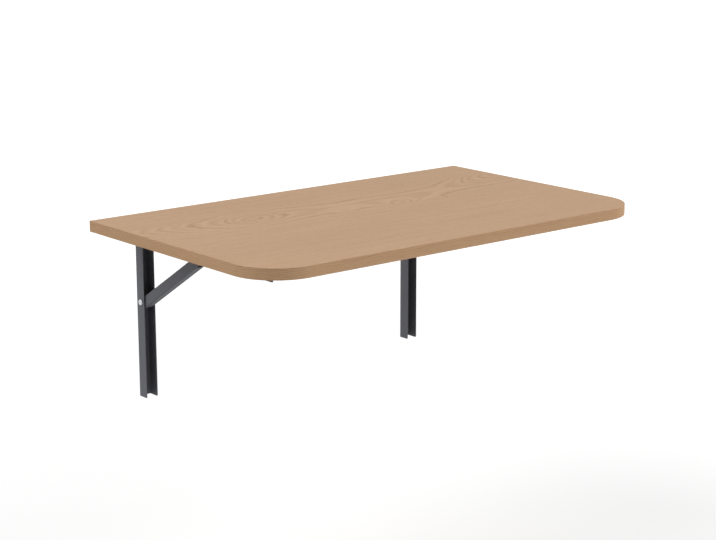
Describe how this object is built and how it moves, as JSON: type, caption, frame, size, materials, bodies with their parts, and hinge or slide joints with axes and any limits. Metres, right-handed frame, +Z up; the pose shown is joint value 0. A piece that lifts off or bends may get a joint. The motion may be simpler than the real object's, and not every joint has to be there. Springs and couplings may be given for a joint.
{
  "type": "wall mounted drop leaf table",
  "caption": "Rounded oak-faced leaf that folds down against the wall, carried by steel channel brackets with hinged arms and sliding folding struts.",
  "frame": {"origin": "middle of the four outer wall screw holes, on the wall plane", "axes": "+Y into the wall, +Z up, +X to the right of someone who faces the wall"},
  "size_m": [1, 0.601, 0.392],
  "materials": {
    "chipboard": "raw core",
    "oak_laminate": "matt oak print",
    "oak_edge_band": "matt oak print",
    "black_steel": "satin black powder coat",
    "zinc_steel": "zinc plated",
    "spring_steel": "tempered",
    "nylon": "plain"
  },
  "bodies": {
    "wall_rails": {"left_wall_rail": "black_steel", "left_hinge_pin": "zinc_steel", "left_strut_rivet": "zinc_steel", "left_strut_spacers": "nylon", "right_wall_rail": "black_steel", "right_hinge_pin": "zinc_steel", "right_strut_rivet": "zinc_steel", "right_strut_spacers": "nylon"},
    "table_top": {"top_core": "chipboard", "top_laminate": "oak_laminate", "under_laminate": "oak_laminate", "edge_band_front": "oak_edge_band", "edge_band_rear": "oak_edge_band", "left_table_arm": "black_steel", "left_hinge_sleeve": "nylon", "left_catch_spring": "spring_steel", "left_catch_rivets": "zinc_steel", "left_arm_screws": "zinc_steel", "right_table_arm": "black_steel", "right_hinge_sleeve": "nylon", "right_catch_spring": "spring_steel", "right_catch_rivets": "zinc_steel", "right_arm_screws": "zinc_steel"},
    "left_strut": {"left_support_strut": "black_steel", "left_slide_axle": "zinc_steel", "left_slide_sleeve": "nylon"},
    "right_strut": {"right_support_strut": "black_steel", "right_slide_axle": "zinc_steel", "right_slide_sleeve": "nylon"}
  },
  "joints": [
    {"name": "leaf_fold", "type": "hinge", "parent": "wall_rails", "child": "table_top", "pos_m": [0, -0.016, 0.1767], "axis": [1, 0, 0], "range_deg": [0, 90], "deforming": ["left_catch_spring", "right_catch_spring"]},
    {"name": "left_strut_swing", "type": "hinge", "parent": "wall_rails", "child": "left_strut", "pos_m": [-0.363, -0.016, 0.0395], "axis": [1, 0, 0], "range_deg": [0, 119.84]},
    {"name": "right_strut_swing", "type": "hinge", "parent": "wall_rails", "child": "right_strut", "pos_m": [0.363, -0.016, 0.0395], "axis": [1, 0, 0], "range_deg": [0, 119.84]}
  ],
  "couplings": [
    {"joint": "left_strut_swing", "follows": "leaf_fold", "ratio": 1.3316},
    {"joint": "right_strut_swing", "follows": "leaf_fold", "ratio": 1.3316}
  ]
}
